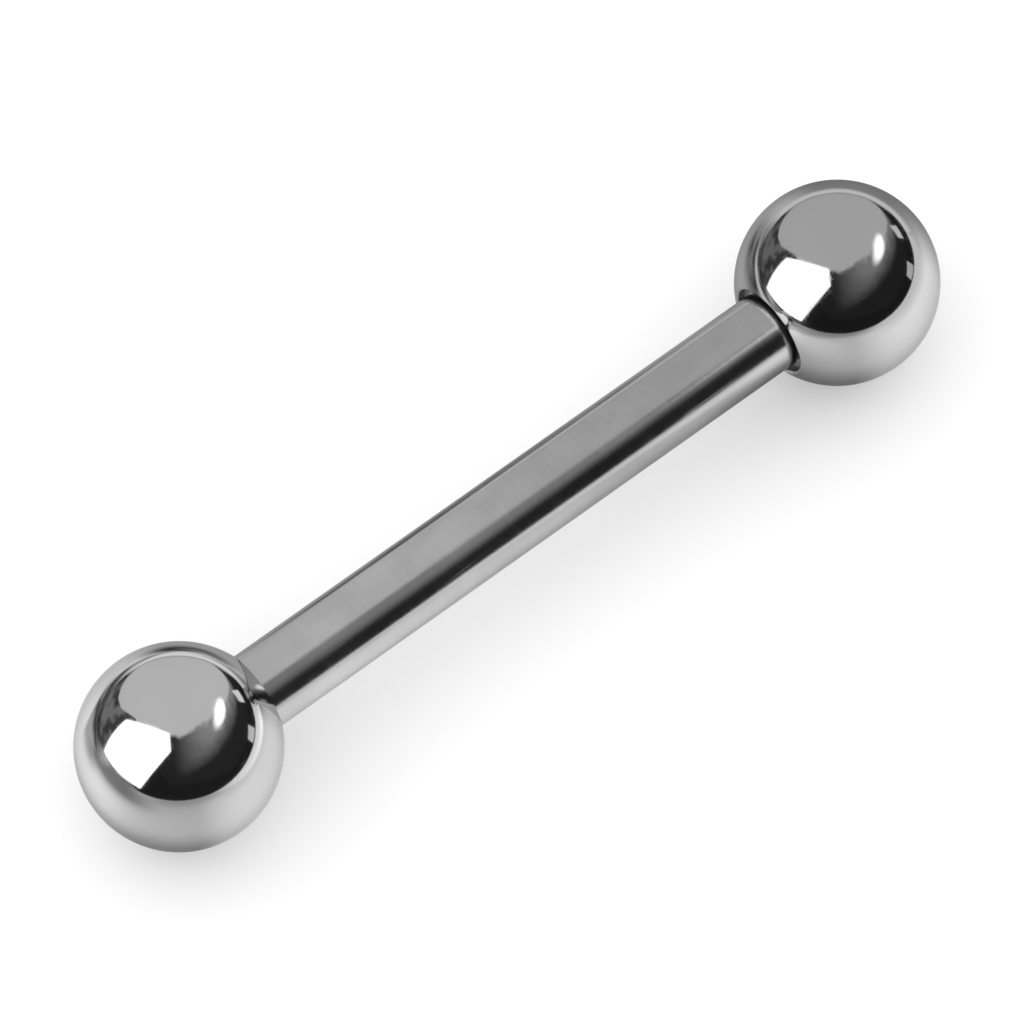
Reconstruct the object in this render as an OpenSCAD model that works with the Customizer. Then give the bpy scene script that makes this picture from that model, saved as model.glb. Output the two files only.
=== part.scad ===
// Straight piercing barbell: a round post with a threaded ball in each end.
// It lies on a surface at z = 0, on its two balls, with the post along X.

/* [Post] */
// Length worn between the faces of the two balls
wear_length = 12.7; // [6:0.1:20]
// Diameter of the post, 14 gauge
post_d = 1.6; // [1.6:0.1:2]
// Width of the bevel round each end of the post
post_bevel = 0.1; // [0.04:0.02:0.12]
// Depth of the straight hole in each end of the post
bore_depth = 2.6; // [2.2:0.1:2.8]

/* [Balls] */
// Diameter of each ball
ball_d = 4; // [4:0.5:6]
// Gap all round the post where it enters the recess in the ball
recess_play = 0.13; // [0.08:0.01:0.18]
// Depth of the recess, from its rim to its floor
recess_depth = 0.22; // [0.16:0.01:0.3]
// Height of the polished-over edge round the recess
rim_bevel = 0.06; // [0.02:0.01:0.08]

/* [Thread] */
// Outer diameter of the thread on each stud
thread_d = 1; // [0.8:0.05:1]
// Distance from one turn of the thread to the next
thread_pitch = 0.25; // [0.2:0.05:0.25]
// Length of stud that stands out of the recess's floor
stud_reach = 1.95; // [1.5:0.05:2.1]
// Length of stud that is fixed inside the ball
shank_length = 1.15; // [0.8:0.05:1.2]

/* [Hidden] */

// Gaps between pieces that touch on the real thing, and the play of the thread in its hole
seat_gap = 0.02;
shank_gap = 0.02;
thread_play = 0.03;
// The shank in the ball is thinner than the thread by this much all round
shank_step = 0.05;
// Runs a cut past the surface that it opens
cut_over = 0.5;
// Point angle of a twist drill, which ends each blind hole, and the radius of the flat that its
// chisel edge leaves there
drill_angle = 118;
drill_flat = 0.03;
steel = [0.76, 0.77, 0.78];

ball_r = ball_d / 2;
post_r = post_d / 2;
recess_r = post_r + recess_play;
// The rim of the recess is a circle on the ball, this far from the ball's centre
rim_height = sqrt(ball_r * ball_r - recess_r * recess_r);
rim_x = wear_length / 2;
ball_x = rim_x + rim_height;
floor_x = rim_x + recess_depth;
post_half = floor_x - seat_gap;

thread_r = thread_d / 2;
// Form of a metric thread: its depth and crest as parts of the pitch, and flanks at 60 degrees
thread_depth = 0.6134 * thread_pitch;
crest_flat = thread_pitch / 8;
flank_run = thread_depth * tan(60 / 2);
root_r = thread_r - thread_depth;
bore_r = thread_r + thread_play;
// Depth and width of the countersink at the mouth of each bore
mouth_depth = 0.11;
shank_r = thread_r - shank_step;
// Plain necks before the first turn and after the last one, and the bevel on the stud's tip
neck_length = 0.1;
tip_length = 0.06;
tip_bevel = 0.1;
// Steps in one turn of the thread, and those in which each of its ends runs out to nothing
turn_steps = 24;
fade_steps = 10;
// How far the thread's ridge is rooted in the core
ridge_sink = 0.03;
// Sides that a round surface is drawn with
round_sides = 64;
ball_sides = 96;

// Height of the cone that a drill of radius r leaves
function drill_tip(r) = (r - drill_flat) / tan(drill_angle / 2);

// Puts a shape that is drawn along Z on the barbell's axis, pointing along +X or -X
module on_axis(side) {
  translate([0, 0, ball_r])
    rotate([0, 90 * side, 0])
      children();
}

// A drilled hole that runs down from z = 0 to its point, open above
module drilled_hole(depth, r) {
  translate([0, 0, -depth])
    cylinder(h = depth + cut_over, r = r, $fn = round_sides);
  translate([0, 0, -depth - drill_tip(r)])
    cylinder(h = drill_tip(r), r1 = drill_flat, r2 = r, $fn = round_sides);
}

// Post: a turned rod, bevelled and drilled at both ends
module post() {
  color(steel)
    difference() {
      on_axis(1)
        turned_rod();
      for (side = [-1, 1])
        on_axis(side)
          translate([0, 0, post_half]) {
            drilled_hole(bore_depth, bore_r);
            bore_mouth();
          }
    }
}

// The post's outside, turned as one profile
module turned_rod() {
  rotate_extrude($fn = round_sides)
    polygon([
      [0, -post_half],
      [post_r - post_bevel, -post_half],
      [post_r, -post_half + post_bevel],
      [post_r, post_half - post_bevel],
      [post_r - post_bevel, post_half],
      [0, post_half]
    ]);
}

// Countersink at the mouth of the hole, which leads the thread in
module bore_mouth() {
  translate([0, 0, -mouth_depth])
    cylinder(h = 2 * mouth_depth, r1 = bore_r, r2 = bore_r + 2 * mouth_depth, $fn = round_sides);
}

// Ball, with its recess and the hole for its stud facing the middle of the barbell
module ball(side) {
  color(steel)
    on_axis(side)
      difference() {
        translate([0, 0, ball_x])
          sphere(r = ball_r, $fn = ball_sides);
        recess();
        translate([0, 0, floor_x])
          mirror([0, 0, 1])
            drilled_hole(shank_length + seat_gap, shank_r + shank_gap);
      }
}

// Round recess with a flat floor and a softened rim
module recess() {
  translate([0, 0, rim_x - cut_over])
    cylinder(h = recess_depth + cut_over, r = recess_r, $fn = ball_sides);
  translate([0, 0, rim_x - rim_bevel])
    cylinder(h = 2 * rim_bevel, r1 = recess_r + 2 * rim_bevel, r2 = recess_r, $fn = ball_sides);
}

// Stud: a plain shank in the ball, then a thinner core that carries the thread, with a bevelled tip
module stud(side) {
  core_length = stud_reach - tip_bevel;
  color(steel)
    on_axis(side)
      translate([0, 0, floor_x]) {
        cylinder(h = shank_length, r = shank_r, $fn = turn_steps);
        mirror([0, 0, 1]) {
          cylinder(h = core_length, r = root_r, $fn = turn_steps);
          translate([0, 0, core_length])
            cylinder(h = tip_bevel, r1 = root_r, r2 = root_r - tip_bevel, $fn = turn_steps);
          thread_ridge();
        }
      }
}

// The ridge of the thread: a four-sided section swept up a helix, rooted inside the core. It is
// drawn left-handed, because the stud mirrors it into a right-handed thread.
module thread_ridge() {
  low_end = neck_length + flank_run;
  high_end = stud_reach - tip_bevel - tip_length - flank_run;
  steps = floor((high_end - low_end) / thread_pitch * turn_steps);
  half_root = crest_flat / 2 + flank_run * (1 + ridge_sink / thread_depth);
  buried_r = root_r - ridge_sink;
  corners = 4;
  points = [
    for (step = [0:steps])
      let (
        angle = -step * 360 / turn_steps,
        lift = low_end + step * thread_pitch / turn_steps,
        rise = min(1, step / fade_steps, (steps - step) / fade_steps),
        crest_r = (buried_r + root_r) / 2 * (1 - rise) + thread_r * rise,
        section = [
          [buried_r, -half_root],
          [crest_r, -crest_flat / 2],
          [crest_r, crest_flat / 2],
          [buried_r, half_root]
        ]
      )
        for (corner = section)
          [corner[0] * cos(angle), corner[0] * sin(angle), lift + corner[1]]
  ];
  sides = [
    for (step = [0:steps - 1], k = [0:corners - 1])
      let (low = step * corners, high = low + corners, next = (k + 1) % corners)
        [low + k, high + k, high + next, low + next]
  ];
  first_end = [for (k = [0:corners - 1]) k];
  last_end = [for (k = [corners - 1:-1:0]) steps * corners + k];
  polyhedron(points = points, faces = concat(sides, [first_end, last_end]), convexity = 10);
}

post();
ball(-1);  // ball_left
ball(1);  // ball_right
stud(-1);  // stud_left
stud(1);  // stud_right
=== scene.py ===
# Straight piercing barbell, lying on a white table on its two balls. The file follows the way
# it is put together: the post, the balls, the studs that join them, then the studio round it.
# Lengths are metres, and the post runs along X.
import math

import bmesh
import bpy
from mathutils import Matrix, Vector


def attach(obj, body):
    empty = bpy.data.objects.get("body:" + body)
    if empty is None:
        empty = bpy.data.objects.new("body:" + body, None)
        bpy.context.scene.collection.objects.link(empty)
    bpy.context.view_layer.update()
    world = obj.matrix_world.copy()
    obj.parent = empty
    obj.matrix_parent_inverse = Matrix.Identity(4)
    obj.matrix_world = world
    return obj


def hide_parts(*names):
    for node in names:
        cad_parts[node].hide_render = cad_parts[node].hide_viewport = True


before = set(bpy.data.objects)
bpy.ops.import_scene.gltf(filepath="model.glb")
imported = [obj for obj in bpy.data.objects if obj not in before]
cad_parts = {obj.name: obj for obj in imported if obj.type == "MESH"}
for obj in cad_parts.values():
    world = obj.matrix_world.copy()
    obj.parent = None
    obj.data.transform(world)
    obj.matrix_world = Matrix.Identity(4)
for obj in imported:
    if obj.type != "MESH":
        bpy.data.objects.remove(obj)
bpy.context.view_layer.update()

# Post. The real one is a 14 gauge rod of surgical steel, centreless ground and polished, with
# its ends faced square and bevelled. Each end is drilled and then tapped for a ball's stud.
MM = 0.001
AXIS_HEIGHT = 2 * MM
POST_RADIUS = 0.8 * MM
POST_HALF = 6.55 * MM
POST_BEVEL = 0.1 * MM
POST_SIDES = 160
MOUTH_RADIUS = 0.64 * MM
MOUTH_DEPTH = 0.11 * MM
DRILL_RADIUS = 0.512 * MM
DRILL_DEPTH = 2.6 * MM
DRILL_POINT = 0.31 * MM
DRILL_WEB = 0.03 * MM
TAP_RADIUS = 0.565 * MM
TAP_CORE = 0.48 * MM
TAP_DEPTH = 2.3 * MM
TAP_OVER = 0.12 * MM
PITCH = 0.25 * MM
TAP_CREST = 0.3 * PITCH
# Each flank takes this share of the pitch beside the crest, and the groove takes the rest
FLANK_SHARE = 0.42
THREAD_STEPS = 72
SPARE_TURNS = 3
# A face looks along the barbell where its normal's x is more than this
END_ON = 0.999
# Steel reflects this share of a plain metal's light at a glancing angle
STEEL_RIM = (0.7, 0.7, 0.7, 1)
# Points closer than WELD are one point, and TINY is a plane's thickness
WELD = 1e-7
TINY = 1e-8
SHARP_ANGLE = math.radians(32)


def start_piece(name):
    """Names the primitive that was just added and puts its place into its mesh."""
    piece = bpy.context.object
    piece.name = piece.data.name = name
    bpy.ops.object.transform_apply(location=True, rotation=True, scale=True)
    return piece


def pick(kind, test):
    """Selects the points, edges or faces of the mesh in edit mode that pass the test."""
    bpy.ops.mesh.select_mode(type=kind)
    bpy.ops.mesh.select_all(action="DESELECT")
    mesh = bmesh.from_edit_mesh(bpy.context.edit_object.data)
    for part in {"VERT": mesh.verts, "EDGE": mesh.edges, "FACE": mesh.faces}[kind]:
        if test(part):
            part.select_set(True)
    mesh.select_flush_mode()
    bmesh.update_edit_mesh(bpy.context.edit_object.data)


def turn(profile):
    """Carries the selected ring through the (x, radius) stations of a turned profile."""
    for x, radius in profile:
        bpy.ops.mesh.extrude_region()
        mesh = bmesh.from_edit_mesh(bpy.context.edit_object.data)
        ring = [point.co for point in mesh.verts if point.select]
        middle = sum(co.x for co in ring) / len(ring)
        wide = max(math.hypot(co.y, co.z - AXIS_HEIGHT) for co in ring)
        bpy.ops.transform.translate(value=(x - middle, 0, 0))
        bpy.ops.transform.resize(
            value=(1, radius / wide, radius / wide), center_override=(x, 0, AXIS_HEIGHT)
        )


def threaded_rod(name, start, length, core, crest, crest_width):
    """A solid rod with a right-handed thread all along it, from x = start in +X."""
    flank = (PITCH - crest_width) * FLANK_SHARE
    groove = PITCH - crest_width - 2 * flank
    bpy.ops.object.select_all(action="DESELECT")
    bpy.ops.mesh.primitive_plane_add(size=MM, location=(start - PITCH, 0, AXIS_HEIGHT))
    rod = bpy.context.object
    rod.name = rod.data.name = name
    bpy.ops.object.mode_set(mode="EDIT")
    bpy.ops.mesh.select_mode(type="VERT")
    bpy.ops.mesh.merge(type="CENTER")
    bpy.ops.transform.translate(value=(0, 0, core))
    outline = [
        (groove, 0),
        (flank, crest - core),
        (crest_width, 0),
        (flank, core - crest),
    ]
    for along, outward in outline:
        bpy.ops.mesh.extrude_region_move(
            TRANSFORM_OT_translate={"value": (along, 0, outward)}
        )
    bpy.ops.object.mode_set(mode="OBJECT")
    bpy.ops.object.modifier_add(type="SCREW")
    screw = rod.modifiers[-1]
    screw.axis = "X"
    screw.angle = math.tau
    screw.screw_offset = PITCH
    screw.iterations = math.ceil(length / PITCH) + SPARE_TURNS
    screw.steps = screw.render_steps = THREAD_STEPS
    bpy.ops.object.modifier_apply(modifier=screw.name)
    bpy.ops.object.transform_apply(location=True, rotation=True, scale=True)
    bpy.ops.object.mode_set(mode="EDIT")
    bpy.ops.mesh.select_all(action="SELECT")
    bpy.ops.mesh.remove_doubles(threshold=WELD)
    for x, outward in ((start, -1), (start + length, 1)):
        bpy.ops.mesh.select_all(action="SELECT")
        bpy.ops.mesh.bisect(
            plane_co=(x, 0, AXIS_HEIGHT),
            plane_no=(outward, 0, 0),
            use_fill=True,
            clear_outer=True,
            threshold=TINY,
        )
    bpy.ops.mesh.select_all(action="SELECT")
    bpy.ops.mesh.normals_make_consistent(inside=False)
    bpy.ops.object.mode_set(mode="OBJECT")
    return rod


def cut_with(piece, tool, operation):
    """Cuts the piece with the tool, or keeps what both share, and removes the tool."""
    bpy.ops.object.select_all(action="DESELECT")
    bpy.context.view_layer.objects.active = piece
    piece.select_set(True)
    bpy.ops.object.modifier_add(type="BOOLEAN")
    cut = piece.modifiers[-1]
    cut.operation = operation
    cut.solver = "EXACT"
    cut.object = tool
    bpy.ops.object.modifier_apply(modifier=cut.name)
    bpy.data.objects.remove(tool)
    bpy.ops.object.mode_set(mode="EDIT")
    bpy.ops.mesh.select_all(action="SELECT")
    bpy.ops.mesh.remove_doubles(threshold=WELD)
    bpy.ops.object.mode_set(mode="OBJECT")


def finish_mesh(piece):
    """Smooths the round faces of the piece and keeps its turned corners sharp."""
    bpy.ops.object.select_all(action="DESELECT")
    bpy.context.view_layer.objects.active = piece
    piece.select_set(True)
    bpy.ops.object.shade_smooth_by_angle(angle=SHARP_ANGLE)
    bpy.ops.object.select_all(action="DESELECT")


class Signal:
    """A socket of a material's nodes, used in sums like a number."""

    def __init__(self, tree, socket):
        self.tree = tree
        self.socket = socket

    def node(self, kind, settings, inputs, output=0):
        """Adds a node, sets its settings and then its sockets, and gives one of its outputs."""
        node = self.tree.nodes.new(kind)
        for name, value in settings.items():
            setattr(node, name, value)
        for name, value in inputs.items():
            if isinstance(value, Signal):
                self.tree.links.new(value.socket, node.inputs[name])
            else:
                node.inputs[name].default_value = value
        return Signal(self.tree, node.outputs[output])

    def feed(self, node, *sockets):
        """Links this to sockets of a shader or of the material's output."""
        for name in sockets:
            self.tree.links.new(self.socket, node.inputs[name])

    def math(self, operation, *values):
        return self.node("ShaderNodeMath", {"operation": operation}, dict(enumerate(values)))

    def __add__(self, other):
        return self.math("ADD", self, other)

    def __radd__(self, other):
        return self.math("ADD", other, self)

    def __sub__(self, other):
        return self.math("SUBTRACT", self, other)

    def __rsub__(self, other):
        return self.math("SUBTRACT", other, self)

    def __mul__(self, other):
        return self.math("MULTIPLY", self, other)

    def __rmul__(self, other):
        return self.math("MULTIPLY", other, self)

    def __truediv__(self, other):
        return self.math("DIVIDE", self, other)

    def __neg__(self):
        return self.math("SUBTRACT", 0, self)

    def __abs__(self):
        return self.math("ABSOLUTE", self)

    def most(self, other):
        return self.math("MAXIMUM", self, other)

    def least(self, other):
        return self.math("MINIMUM", self, other)

    def axis(self, name):
        """This place along X, Y or Z."""
        return self.node("ShaderNodeSeparateXYZ", {}, {"Vector": self}, name)

    def length(self):
        """How long this vector is."""
        return self.node("ShaderNodeVectorMath", {"operation": "LENGTH"}, {0: self}, "Value")

    def off_axis(self):
        """How far this place is from the barbell's axis."""
        return self.node(
            "ShaderNodeMapping", {"vector_type": "POINT"},
            {"Vector": self, "Location": (0, 0, -AXIS_HEIGHT), "Scale": (0, 1, 1)},
        ).length()

    def off_middle(self):
        """How far along the barbell this place is from its middle."""
        return abs(self.axis("X"))

    def tool_rings(self, fineness):
        """The rings that a lathe tool leaves on faces and in holes, so many blotches a metre."""
        rings = self.node(
            "ShaderNodeCombineXYZ", {}, {"X": self.off_axis(), "Y": self.off_middle()}
        )
        return rings.noise((fineness, fineness, 1), detail=3.0)

    def rise(self, low, high):
        """0 below low and 1 above high, with a smooth rise between."""
        return self.node(
            "ShaderNodeMapRange", {"interpolation_type": "SMOOTHSTEP"},
            {"Value": self, "From Min": low, "From Max": high},
        )

    def noise(self, stretch, turn=(0, 0, 0), detail=2.0):
        """Noise from 0 to 1 on this place, with so many blotches a metre along each axis."""
        place = self.node(
            "ShaderNodeMapping", {"vector_type": "POINT"},
            {"Vector": self, "Rotation": turn, "Scale": stretch},
        )
        return self.node(
            "ShaderNodeTexNoise", {}, {"Vector": place, "Scale": 1.0, "Detail": detail}
        )

    def hairlines(self, stretch, turn, width):
        """Thin scratches, 1 along the middle of each: where a drawn-out noise crosses a half."""
        return 1 - abs(self.noise(stretch, turn, 0.0) - 0.5).rise(0, width)

    def mix(self, low, high):
        """The colour low where this is 0 and high where it is 1."""
        return self.node(
            "ShaderNodeMix", {"data_type": "RGBA"}, {0: self, 6: low, 7: high}, 2
        )


def object_place(material):
    """The place on a piece in metres, as a signal of its material."""
    tree = material.node_tree
    return Signal(tree, tree.nodes.new("ShaderNodeTexCoord").outputs["Object"])


def new_steel(name):
    """A bare metal material, its shader node, and the place on the piece."""
    steel = bpy.data.materials.new(name)
    steel.use_nodes = True
    shader = steel.node_tree.nodes["Principled BSDF"]
    shader.inputs["Metallic"].default_value = 1.0
    shader.inputs["Specular Tint"].default_value = STEEL_RIM
    return steel, shader, object_place(steel)


def finish_steel(piece, steel, shader, colour, roughness, height, depth):
    """Feeds the metal's shader, and puts the material on the piece."""
    colour.feed(shader, "Base Color")
    roughness.feed(shader, "Roughness")
    height.node(
        "ShaderNodeBump", {}, {"Strength": 1.0, "Distance": depth, "Height": height}
    ).feed(shader, "Normal")
    piece.data.materials.clear()
    piece.data.materials.append(steel)


bpy.ops.object.select_all(action="DESELECT")
bpy.ops.mesh.primitive_cylinder_add(
    vertices=POST_SIDES,
    radius=POST_RADIUS,
    depth=2 * (POST_HALF - POST_BEVEL),
    location=(0, 0, AXIS_HEIGHT),
    rotation=(0, math.pi / 2, 0),
)
post = start_piece("post_rod")
bpy.ops.object.mode_set(mode="EDIT")
for side in (-1, 1):
    pick("FACE", lambda face: face.normal.x * side > END_ON)
    # Each station is (distance in from the end of the post, radius)
    stations = [
        (POST_BEVEL - 0.006 * MM, POST_RADIUS - 0.001 * MM),
        (POST_BEVEL - 0.016 * MM, POST_RADIUS - 0.006 * MM),
        (0.016 * MM, POST_RADIUS - POST_BEVEL + 0.016 * MM),
        (0.005 * MM, POST_RADIUS - POST_BEVEL + 0.003 * MM),
        (0, POST_RADIUS - POST_BEVEL - 0.01 * MM),
        (0, MOUTH_RADIUS),
        (MOUTH_DEPTH, DRILL_RADIUS + 0.02 * MM),
        (DRILL_DEPTH, DRILL_RADIUS),
        (DRILL_DEPTH + DRILL_POINT, DRILL_WEB),
    ]
    turn([(side * (POST_HALF - inset), radius) for inset, radius in stations])
bpy.ops.object.mode_set(mode="OBJECT")
for side in (-1, 1):
    tap_start = min(side * (POST_HALF - TAP_DEPTH), side * (POST_HALF + TAP_OVER))
    tap = threaded_rod(
        "tap", tap_start, TAP_DEPTH + TAP_OVER, TAP_CORE, TAP_RADIUS, TAP_CREST
    )
    cut_with(post, tap, "DIFFERENCE")
finish_mesh(post)

# The faced ends, their bevels and the holes are left as they were cut, unpolished.
# Their colour is also darkened there, which is painted shade.
POST_BRIGHT = (0.65, 0.65, 0.655, 1)
POST_DULL = (0.53, 0.53, 0.535, 1)
POST_CUT_AND_SHADE = (0.43, 0.43, 0.43, 1)
POST_RINGS = 26000
POST_RELIEF = 0.0008 * MM
steel, shader, place = new_steel("post_steel")
faced = place.off_middle().rise(POST_HALF - POST_BEVEL, POST_HALF - 0.6 * POST_BEVEL)
drilled = 1 - place.off_axis().rise(MOUTH_RADIUS, MOUTH_RADIUS + 0.03 * MM)
# The cut faces and holes are rougher and ringed, and darkened with painted shade
cut = faced.most(drilled)
rings = place.tool_rings(POST_RINGS)
grinding = place.noise((15000, 600, 600), detail=3.0)
rubs = place.hairlines((180, 5200, 5200), (0, 0, 0.02), 0.018)
cloud = place.noise((900, 1500, 1500), detail=4.0).rise(0.3, 0.7)
patches = place.noise((420, 700, 700)).rise(0.42, 0.62)
finish_steel(
    post, steel, shader,
    colour=(cut * (0.45 + 0.55 * cloud)).mix(
        (0.55 * cloud + 0.45 * grinding).mix(POST_DULL, POST_BRIGHT), POST_CUT_AND_SHADE
    ),
    roughness=0.11 + 0.08 * grinding + 0.05 * rubs * patches + 0.03 * cloud + 0.1 * cut,
    height=(grinding - 0.8 * rubs * patches) * (1 - cut) + 2.2 * rings * cut,
    depth=POST_RELIEF,
)

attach(post, "post")
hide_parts("post")

# Balls. Each is a solid steel ball, tumbled and buffed to a mirror. A flat-bottomed recess is
# turned into it, which swallows the end of the post, and a hole is drilled for its stud.
BALL_RADIUS = 2 * MM
BALL_X = 8.1205 * MM
RIM_X = 6.35 * MM
FLOOR_X = 6.57 * MM
RECESS_RADIUS = 0.93 * MM
HOLE_RADIUS = 0.47 * MM
HOLE_DEPTH = 1.17 * MM
HOLE_POINT = 0.28 * MM
BALL_SEGMENTS = 192
BALL_RINGS = 96
RIM_CUT = 0.03 * MM

bpy.ops.mesh.primitive_uv_sphere_add(
    segments=BALL_SEGMENTS,
    ring_count=BALL_RINGS,
    radius=BALL_RADIUS,
    location=(BALL_X, 0, AXIS_HEIGHT),
    rotation=(0, math.pi / 2, 0),
)
ball_right = start_piece("ball_right_polished")
bpy.ops.object.mode_set(mode="EDIT")
bpy.ops.mesh.select_all(action="SELECT")
bpy.ops.mesh.bisect(
    plane_co=(RIM_X + RIM_CUT, 0, AXIS_HEIGHT),
    plane_no=(-1, 0, 0),
    clear_outer=True,
    threshold=TINY,
)
pick("EDGE", lambda edge: edge.is_boundary)
turn([
    (RIM_X + 0.034 * MM, 0.968 * MM),
    (RIM_X + 0.044 * MM, 0.951 * MM),
    (RIM_X + 0.059 * MM, 0.938 * MM),
    (RIM_X + 0.080 * MM, RECESS_RADIUS),
    (FLOOR_X - 0.03 * MM, RECESS_RADIUS),
    (FLOOR_X - 0.01 * MM, RECESS_RADIUS - 0.008 * MM),
    (FLOOR_X, RECESS_RADIUS - 0.03 * MM),
    (FLOOR_X, HOLE_RADIUS + 0.03 * MM),
    (FLOOR_X + 0.03 * MM, HOLE_RADIUS),
    (FLOOR_X + HOLE_DEPTH, HOLE_RADIUS),
    (FLOOR_X + HOLE_DEPTH + HOLE_POINT, DRILL_WEB),
])
bpy.ops.mesh.edge_face_add()
bpy.ops.mesh.select_all(action="SELECT")
bpy.ops.mesh.normals_make_consistent(inside=False)
bpy.ops.object.mode_set(mode="OBJECT")
finish_mesh(ball_right)


def other_end(piece, name):
    """A copy of the piece with its own mesh, turned half round to the left end."""
    bpy.ops.object.select_all(action="DESELECT")
    bpy.context.view_layer.objects.active = piece
    piece.select_set(True)
    bpy.ops.object.duplicate()
    copy = bpy.context.object
    copy.name = copy.data.name = name
    bpy.ops.object.mode_set(mode="EDIT")
    bpy.ops.mesh.select_all(action="SELECT")
    bpy.ops.transform.rotate(value=math.pi, orient_axis="Z", center_override=(0, 0, 0))
    bpy.ops.object.mode_set(mode="OBJECT")
    copy.select_set(False)
    return copy


# Buffing reaches only the rim of the recess: inside, the ball is as it was turned and drilled.
# Its colour is also darkened in there, which is painted shade.
BALL_BRIGHT = (0.68, 0.68, 0.685, 1)
BALL_DULL = (0.62, 0.62, 0.625, 1)
BALL_CUT_AND_SHADE = (0.42, 0.42, 0.42, 1)
RECESS_RINGS = 24000
BALL_RELIEF = 0.0012 * MM
steel, shader, place = new_steel("ball_steel")
# Inside the recess: rougher and ringed, and darkened with painted shade
tucked = (
    (1 - place.off_axis().rise(RECESS_RADIUS - 0.005 * MM, RECESS_RADIUS + 0.02 * MM))
    * (1 - place.off_middle().rise(BALL_X, BALL_X + 0.1 * MM))
)
rings = place.tool_rings(RECESS_RINGS)
cloud = place.noise((900, 900, 900), detail=3.0)
ripple = place.noise((700, 700, 700), detail=1.0)
wisps = cloud.rise(0.44, 0.64)
fine = (
    place.hairlines((160, 4200, 4200), (0.4, 0.3, 0.8), 0.012)
    + place.hairlines((4600, 150, 4600), (0.2, 0.9, 0.3), 0.010)
    + place.hairlines((3800, 4200, 170), (0.7, 0.1, 0.5), 0.011)
)
finish_steel(
    ball_right, steel, shader,
    colour=(tucked * (0.45 + 0.55 * cloud)).mix(cloud.mix(BALL_DULL, BALL_BRIGHT), BALL_CUT_AND_SHADE),
    roughness=0.05 + 0.03 * cloud + 0.06 * fine * wisps + 0.14 * tucked,
    height=ripple * 6 - 0.1 * fine * wisps + 1.4 * rings * tucked,
    depth=BALL_RELIEF,
)

ball_left = other_end(ball_right, "ball_left_polished")
for ball, end in ((ball_left, "left"), (ball_right, "right")):
    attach(ball, "end_" + end)
    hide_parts("ball_" + end)

# Studs. Each is a steel pin whose plain shank is fixed in the ball. The end that stands out
# is turned down and cut with a fine right-handed M1 thread, and its tip is bevelled to lead in.
STUD_CREST = 0.5 * MM
STUD_CREST_WIDTH = PITCH / 8
STUD_CORE = 0.347 * MM
STUD_TIP = 4.62 * MM
SHANK_RADIUS = 0.45 * MM
SHANK_END = 7.72 * MM
NECK_RADIUS = 0.335 * MM
NECK_LENGTH = 0.1 * MM
BLANK_RADIUS = 0.53 * MM
BLANK_SIDES = 96

stud_right = threaded_rod(
    "stud_right_threaded", STUD_TIP - PITCH, FLOOR_X - STUD_TIP + 2 * PITCH,
    STUD_CORE, STUD_CREST, STUD_CREST_WIDTH,
)
bpy.ops.object.select_all(action="DESELECT")
bpy.ops.mesh.primitive_cylinder_add(
    vertices=BLANK_SIDES,
    radius=NECK_RADIUS,
    depth=NECK_LENGTH,
    location=(FLOOR_X - NECK_LENGTH / 2, 0, AXIS_HEIGHT),
    rotation=(0, math.pi / 2, 0),
)
blank = start_piece("blank")
bpy.ops.object.mode_set(mode="EDIT")
pick("FACE", lambda face: face.normal.x < -END_ON)
turn([
    (FLOOR_X - NECK_LENGTH - 0.11 * MM, BLANK_RADIUS),
    (STUD_TIP + 0.17 * MM, BLANK_RADIUS),
    (STUD_TIP + 0.01 * MM, 0.31 * MM),
    (STUD_TIP, 0.285 * MM),
])
bpy.ops.object.mode_set(mode="OBJECT")
cut_with(stud_right, blank, "INTERSECT")
bpy.ops.object.mode_set(mode="EDIT")
pick(
    "FACE",
    lambda face: face.normal.x > END_ON and face.calc_center_median().x > FLOOR_X - TINY,
)
turn([
    (FLOOR_X, SHANK_RADIUS - 0.03 * MM),
    (FLOOR_X + 0.03 * MM, SHANK_RADIUS),
    (SHANK_END - 0.05 * MM, SHANK_RADIUS),
    (SHANK_END, SHANK_RADIUS - 0.05 * MM),
])
bpy.ops.object.mode_set(mode="OBJECT")
finish_mesh(stud_right)

# The thread is darker and rougher down in its roots than on its crests
THREAD_BRIGHT = (0.64, 0.64, 0.64, 1)
THREAD_DULL = (0.46, 0.455, 0.45, 1)
THREAD_ROOT = (0.3, 0.295, 0.29, 1)
THREAD_RELIEF = 0.0015 * MM
steel, shader, place = new_steel("thread_steel")
cloud = place.noise((1800, 1800, 1800), detail=4.0)
tearing = place.noise((9000, 1500, 1500), detail=3.0)
root = 1 - place.off_axis().rise(STUD_CORE, STUD_CREST - 0.05 * MM)
finish_steel(
    stud_right, steel, shader,
    colour=(root * (0.4 + 0.6 * cloud)).mix(
        (0.5 * cloud + 0.5 * tearing).mix(THREAD_DULL, THREAD_BRIGHT), THREAD_ROOT
    ),
    roughness=0.12 + 0.12 * tearing + 0.12 * root,
    height=tearing,
    depth=THREAD_RELIEF,
)

stud_left = other_end(stud_right, "stud_left_threaded")
for stud, end in ((stud_left, "left"), (stud_right, "right")):
    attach(stud, "end_" + end)
    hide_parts("stud_" + end)

# Studio. A white table under an even white light. Only the steel sees the rest: a big softbox
# at the front left, a grey ceiling that comes down behind, a bright strip at the right, two
# small windows low behind it, a dark room, and a clear tube that turns grey to the right.
VIEW_TURN = math.radians(39.14)
FORWARD = Vector((math.sin(VIEW_TURN), math.cos(VIEW_TURN), 0))
RIGHTWARD = Vector((math.cos(VIEW_TURN), -math.sin(VIEW_TURN), 0))
UPWARD = Vector((0, 0, 1))
BLACK = (0, 0, 0, 1)
WHITE = (1, 1, 1, 1)
TABLE_SIZE = 3.0
TABLE_WHITE = 0.95
TABLE_GLOW = 0.12


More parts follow.
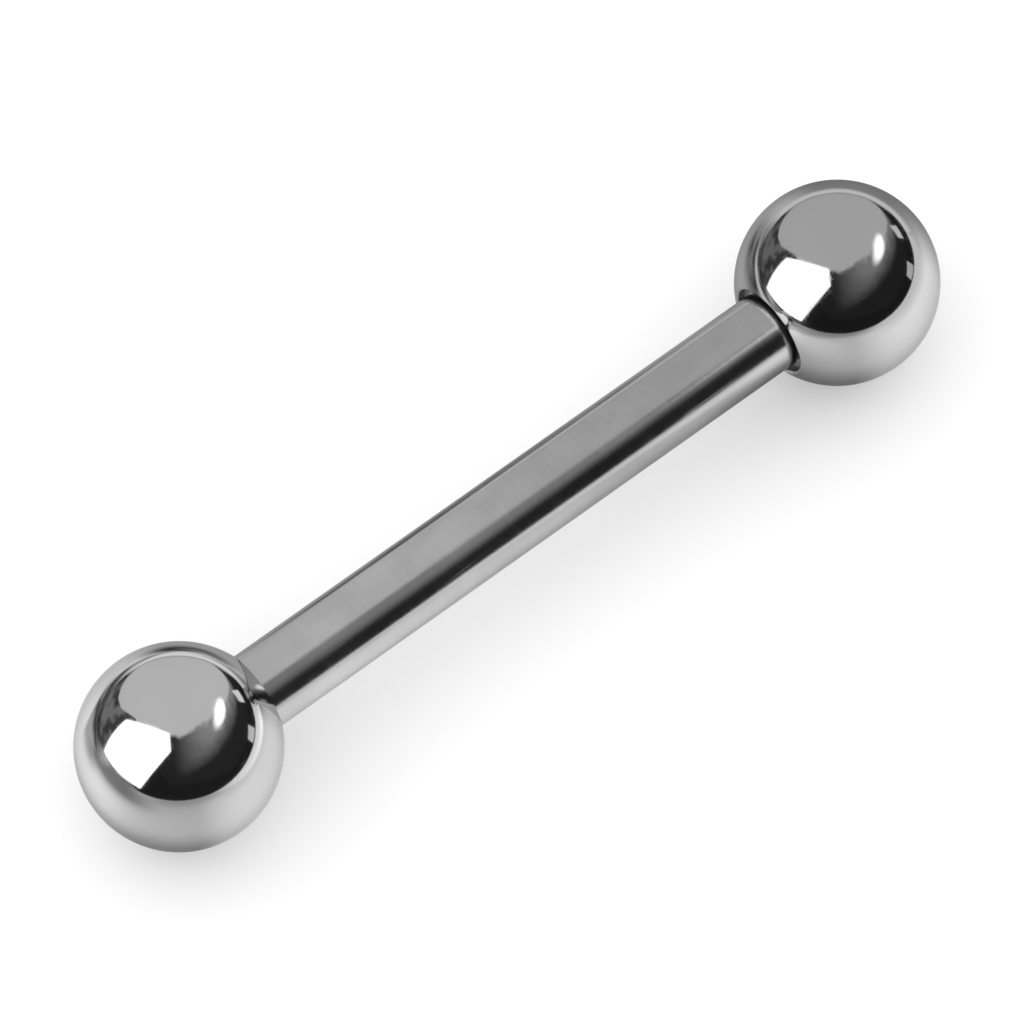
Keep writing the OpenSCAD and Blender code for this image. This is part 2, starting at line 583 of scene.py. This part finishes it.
def glow(name, strength):
    """A material that gives off light and reflects none, and its shader node."""
    material = bpy.data.materials.new(name)
    material.use_nodes = True
    shader = material.node_tree.nodes["Principled BSDF"]
    shader.inputs["Base Color"].default_value = BLACK
    shader.inputs["Specular IOR Level"].default_value = 0
    shader.inputs["Emission Color"].default_value = WHITE
    shader.inputs["Emission Strength"].default_value = strength
    return material, shader


def white_paper(name, shade, strength):
    """A matt white material that glows a little as well, and its shader node."""
    paper, shader = glow(name, strength)
    shader.inputs["Base Color"].default_value = (shade, shade, shade, 1)
    shader.inputs["Roughness"].default_value = 1.0
    return paper, shader


def in_room(right, forward, up):
    """A place or a way, given as seen from the camera: to its right, away from it, and up."""
    return right * RIGHTWARD + forward * FORWARD + up * UPWARD


def only_in_steel(prop, material):
    """Gives a piece of the stage its material, and shows it to the steel alone."""
    prop.data.materials.append(material)
    prop.visible_camera = prop.visible_diffuse = prop.visible_shadow = False


def card(name, corners, material):
    """A flat card that only the steel sees, from corners (right, forward, up) in metres."""
    bpy.ops.object.select_all(action="DESELECT")
    bpy.ops.mesh.primitive_circle_add(
        vertices=len(corners), radius=1, fill_type="NGON", location=(0, 0, 0)
    )
    sheet = start_piece(name)
    for point, corner in zip(sheet.data.vertices, corners):
        point.co = in_room(*corner)
    only_in_steel(sheet, material)


def room_place(material, unit, height=1):
    """The place as (right, forward, up) in this unit. Up is left out where height is 0."""
    place = object_place(material)
    return place.node(
        "ShaderNodeMapping", {"vector_type": "POINT"},
        {
            "Vector": place,
            "Rotation": (0, 0, VIEW_TURN),
            "Scale": (1 / unit, 1 / unit, height / unit),
        },
    )


bpy.ops.object.select_all(action="DESELECT")
bpy.ops.mesh.primitive_plane_add(size=TABLE_SIZE, location=(0, 0, 0))
table = start_piece("table")
table.data.materials.append(white_paper("table_white", TABLE_WHITE, TABLE_GLOW)[0])
table.visible_glossy = False

# The light falls off towards the right end of the barbell. A clear tube round it turns grey
# there, and what the steel reflects is seen through it.
TUBE_LENGTH = 68 * MM
TUBE_RADIUS = 2.3 * MM
TUBE_SIDES = 96
TUBE_GREY = 0.225
GREY_START = -4 * MM
GREY_FULL = 5 * MM


def dimming(place):
    """The share of the light that the tube takes away at this place along the barbell."""
    return TUBE_GREY * place.axis("X").rise(GREY_START, GREY_FULL)


tube_grey, shader = glow("tube_grey", 0.0)
bpy.ops.object.select_all(action="DESELECT")
bpy.ops.mesh.primitive_cylinder_add(
    vertices=TUBE_SIDES,
    radius=TUBE_RADIUS,
    depth=TUBE_LENGTH,
    location=(0, 0, AXIS_HEIGHT),
    rotation=(0, math.pi / 2, 0),
)
only_in_steel(start_piece("tube"), tube_grey)
place = object_place(tube_grey)
clear = place.node("ShaderNodeBsdfTransparent", {}, {})
black = Signal(tube_grey.node_tree, shader.outputs["BSDF"])
glass = place.node("ShaderNodeMixShader", {}, {0: dimming(place), 1: clear, 2: black})
glass.feed(tube_grey.node_tree.nodes["Material Output"], "Surface")

# What the steel sees of the table: it falls off into the dark in front, and is in shade behind
# each ball, to its left and under it. Distances are millimetres, and directions are cosines.
# The card lies this far above the table that the camera sees
LIFT = 0.002 * MM
TABLE_EDGE = TABLE_SIZE / 2
TABLE_SHADE = 0.8
SEEN_GLOW = 0.42
FAR_FALL = 0.18
FRONT_FALL = 0.6
CORNER_FALL = 0.75
AHEAD_FALL = 0.3
CONTACT_FALL = 0.36
RIGHT_GAIN = 0.18
LEFT_FALL = 0.55
BLOTCHY_SHADE_FALL = 0.35
# For each ball: its side, the fall behind it, how far that reaches, and how far the shade at
# its left is held off from it towards the back
BALL_SHADES = (
    (-1, 0.52, 1, 8),
    (1, 0.66, 1.5, 0),
)
table_grey, shader = white_paper("table_grey", TABLE_SHADE, SEEN_GLOW)
card("table_seen_in_steel", [
    (-TABLE_EDGE, -TABLE_EDGE, LIFT), (TABLE_EDGE, -TABLE_EDGE, LIFT),
    (TABLE_EDGE, TABLE_EDGE, LIFT), (-TABLE_EDGE, TABLE_EDGE, LIFT),
], table_grey)
place = room_place(table_grey, MM, height=0)
rightward, forward = place.axis("X"), place.axis("Y")
# Blotches that make the painted shade at the left of each ball patchy
blotchy_shade = place.noise((0.09, 0.09, 1)).rise(0.4, 0.55)
away = place.length()
far_ahead = away.rise(8, 60) * (-forward / away).rise(0.6, 1)
front_left = (
    (-rightward / away).rise(0.4, 0.8) * (-forward / away).rise(0.1, 0.4) * away.rise(13, 22)
)
shade = TABLE_SHADE * (1 - FAR_FALL * away.rise(14, 40)) * (1 - FRONT_FALL * far_ahead)
shade = shade * (1 - CORNER_FALL * front_left)
# The right ball's shade spares what lies behind the left ball
spare = 1
for side, behind_fall, reach, held_off in BALL_SHADES:
    beside = rightward - side * BALL_X / MM * math.cos(VIEW_TURN)
    beyond = forward - side * BALL_X / MM * math.sin(VIEW_TURN)
    away = place.node("ShaderNodeCombineXYZ", {}, {"X": beside, "Y": beyond}).length()
    onward = beyond / away
    leftward = -beside / away
    right = (-leftward).rise(0.2, 0.7)
    behind = onward.rise(0.25, 0.95) * (1 - away.rise(10 * reach, 23 * reach))
    behind = behind * (1 - 0.5 * leftward.rise(0.1, 0.5))
    ahead = (-onward).rise(0.4, 1) * (1 - away.rise(20, 60)) * (1 - right)
    contact = (1 - away.rise(1.6, 4)) * (1 - 0.9 * right)
    bright = (-leftward).rise(0.5, 0.95) * (1 - away.rise(9, 16))
    left = leftward.rise(0.5, 0.85) * onward.rise(-0.3, 0.1) * spare
    left = left * (away - held_off * onward.rise(0.3, 0.7)).rise(5, 9)
    spare = 1 - 0.9 * leftward.rise(0.1, 0.4) * (1 - away.rise(16, 26))
    shade = shade * (1 - behind_fall * behind) * (1 - AHEAD_FALL * ahead)
    shade = shade * (1 - CONTACT_FALL * contact) * (1 + RIGHT_GAIN * bright)
    shade = shade * (1 - left * (LEFT_FALL + BLOTCHY_SHADE_FALL * blotchy_shade))
# The table cuts the tube. The strip inside it is seen through no glass, so it is dimmed itself.
place = object_place(table_grey)
across = abs(place.axis("Y"))
in_tube = across.math("LESS_THAN", across, math.sqrt(TUBE_RADIUS**2 - AXIS_HEIGHT**2))
shade = shade * (1 - dimming(place) * in_tube)
shade.mix(BLACK, WHITE).feed(shader, "Base Color", "Emission Color")

# The softbox and the two windows
SOFTBOX_LIGHT = 2.1
WINDOW_BEHIND_LIGHT = 0.9
WINDOW_RIGHT_LIGHT = 0.7
card("softbox", [
    (-0.343, 0.069, 0.230), (-0.428, -0.032, 0.002), (-0.252, -0.335, 0.033),
    (-0.058, -0.232, 0.344), (-0.066, -0.105, 0.392),
], glow("softbox", SOFTBOX_LIGHT)[0])
card("window_behind", [
    (0.50, 0.50, 0.11), (0.60, 0.40, 0.11), (0.60, 0.40, 0.20), (0.50, 0.50, 0.22),
], glow("window_behind", WINDOW_BEHIND_LIGHT)[0])
card("window_right", [
    (0.70, 0.18, 0.02), (0.72, 0.02, 0.02), (0.72, 0.02, 0.12), (0.70, 0.18, 0.14),
], glow("window_right", WINDOW_RIGHT_LIGHT)[0])

# The ceiling runs back to the horizon, lit over a part that narrows towards the front, with a
# haze that fades out at the right front and a bright strip. Signals are multiples of its height.
CEILING_HEIGHT = 0.4
CEILING_LIGHT = 2.1
CEILING_DARK = (0.011, 0.011, 0.011, 1)
LIT_SHARE = 0.11
HAZE_SHARE = 0.2
STRIP_SHARE = 0.9
STRIP_PLACE = (1, 0.4, 0)
STRIP_TURN = (0, 0, -0.3)
STRIP_HALF = (0.26, 0.62, 1)
ceiling_glow, shader = glow("ceiling", CEILING_LIGHT)
ceiling_outline = [
    (-0.4, 0.07), (-0.16, -1.2), (2, -1.2), (2, 2), (8, 8),
    (-3.6, 8), (-2.4, 3.36), (-1.6, 1.6), (-1.2, 0.86), (-0.8, 0.38),
]
card("ceiling", [(*corner, CEILING_HEIGHT) for corner in ceiling_outline], ceiling_glow)
place = room_place(ceiling_glow, CEILING_HEIGHT, height=0)
rightward, forward = place.axis("X"), place.axis("Y")
# How far behind the front edge of the lit part a place is: the edge curves at both sides
right_part = rightward.most(0)
left_part = rightward.least(0)
inside = forward + 0.335 - right_part * (0.45 + 0.38 * right_part)
inside = inside + left_part * (0.1 - 0.22 * left_part)
ragged = inside + 0.5 * (place.noise((2.4, 2.4, 1), detail=3.0) - 0.5)
lit = ragged.rise(-0.07, 0.07)
haze = ragged.rise(-1.9, 0.4) * rightward.rise(-0.2, 0.7)
haze = haze * (0.2 + 1.2 * place.noise((1.6, 1.6, 1)))
strip = 1 - place.node(
    "ShaderNodeMapping", {"vector_type": "TEXTURE"},
    {"Vector": place, "Location": STRIP_PLACE, "Rotation": STRIP_TURN, "Scale": STRIP_HALF},
).length().rise(0.4, 1)
brightness = LIT_SHARE * lit + HAZE_SHARE * lit.most(haze) + STRIP_SHARE * strip
brightness.mix(CEILING_DARK, WHITE).feed(shader, "Emission Color")

# The dark room, with dim soft shapes low at its left and a grey wall far behind. Its signals
# are multiples of its size.
ROOM_SIZE = 12.0
ROOM_SEGMENTS = 48
ROOM_RINGS = 24
ROOM_DARK = 0.016
WALL_LIGHT = 0.5
room_glow, shader = glow("room", 1.0)
bpy.ops.object.select_all(action="DESELECT")
bpy.ops.mesh.primitive_uv_sphere_add(
    segments=ROOM_SEGMENTS, ring_count=ROOM_RINGS, radius=ROOM_SIZE
)
only_in_steel(start_piece("room"), room_glow)
place = room_place(room_glow, ROOM_SIZE)
rightward, forward, upward = place.axis("X"), place.axis("Y"), place.axis("Z")
blotches = place.noise((3.4, 3.4, 5)).rise(0.42, 0.58)
low_left = (-rightward).rise(0.3, 0.6) * forward.rise(-0.3, 0.1) * (1 - upward.rise(0.6, 0.95))
wall = forward.rise(0.8, 0.9) * (1 - upward.rise(0.04, 0.12))
dim = low_left * (0.04 + 0.16 * blotches)
(ROOM_DARK + dim.most(wall * WALL_LIGHT)).mix(BLACK, WHITE).feed(shader, "Emission Color")

# What lights the table: an even white sky, and a soft lamp at the left, which gives the barbell
# its faint shadow. The steel sees neither.
SKY_LIGHT = 1.05
LAMP_WIDTH = 0.4
LAMP_DEPTH = 0.34
LAMP_POWER = 0.15
LAMP_DISTANCE = 0.45
LAMP_WAY = (-0.78, -0.2, 0.6)
world = bpy.data.worlds.new("even_light")
bpy.context.scene.world = world
world.use_nodes = True
sky = world.node_tree.nodes["Background"]
sky.inputs["Color"].default_value = WHITE
sky.inputs["Strength"].default_value = SKY_LIGHT
world.cycles_visibility.glossy = False

bpy.ops.object.select_all(action="DESELECT")
bpy.ops.object.light_add(type="AREA")
lamp = bpy.context.object
lamp.data.shape = "RECTANGLE"
lamp.data.size = LAMP_WIDTH
lamp.data.size_y = LAMP_DEPTH
lamp.data.energy = LAMP_POWER
way = in_room(*LAMP_WAY).normalized()
lamp.location = way * LAMP_DISTANCE
lamp.rotation_euler = way.to_track_quat("Z", "Y").to_euler()
lamp.visible_glossy = False

# The camera looks down on the barbell from in front of its left end, through a long lens
VIEW_RISE = math.radians(60)
LENS = 400.0
SENSOR_WIDTH = 36.0
FRAME_WIDTH = 19.6 * MM
CLIP_NEAR = 0.01
CLIP_FAR = 20.0
bpy.ops.object.select_all(action="DESELECT")
bpy.ops.object.camera_add()
camera = bpy.context.object
camera.data.lens = LENS
camera.data.sensor_width = SENSOR_WIDTH
camera.data.clip_start = CLIP_NEAR
camera.data.clip_end = CLIP_FAR
back = in_room(0, -math.cos(VIEW_RISE), math.sin(VIEW_RISE))
camera.location = Vector((0, 0, AXIS_HEIGHT)) + back * (FRAME_WIDTH * LENS / SENSOR_WIDTH)
camera.rotation_euler = (-back).to_track_quat("-Z", "Y").to_euler()
bpy.context.scene.camera = camera
bpy.context.scene.view_settings.view_transform = "Standard"
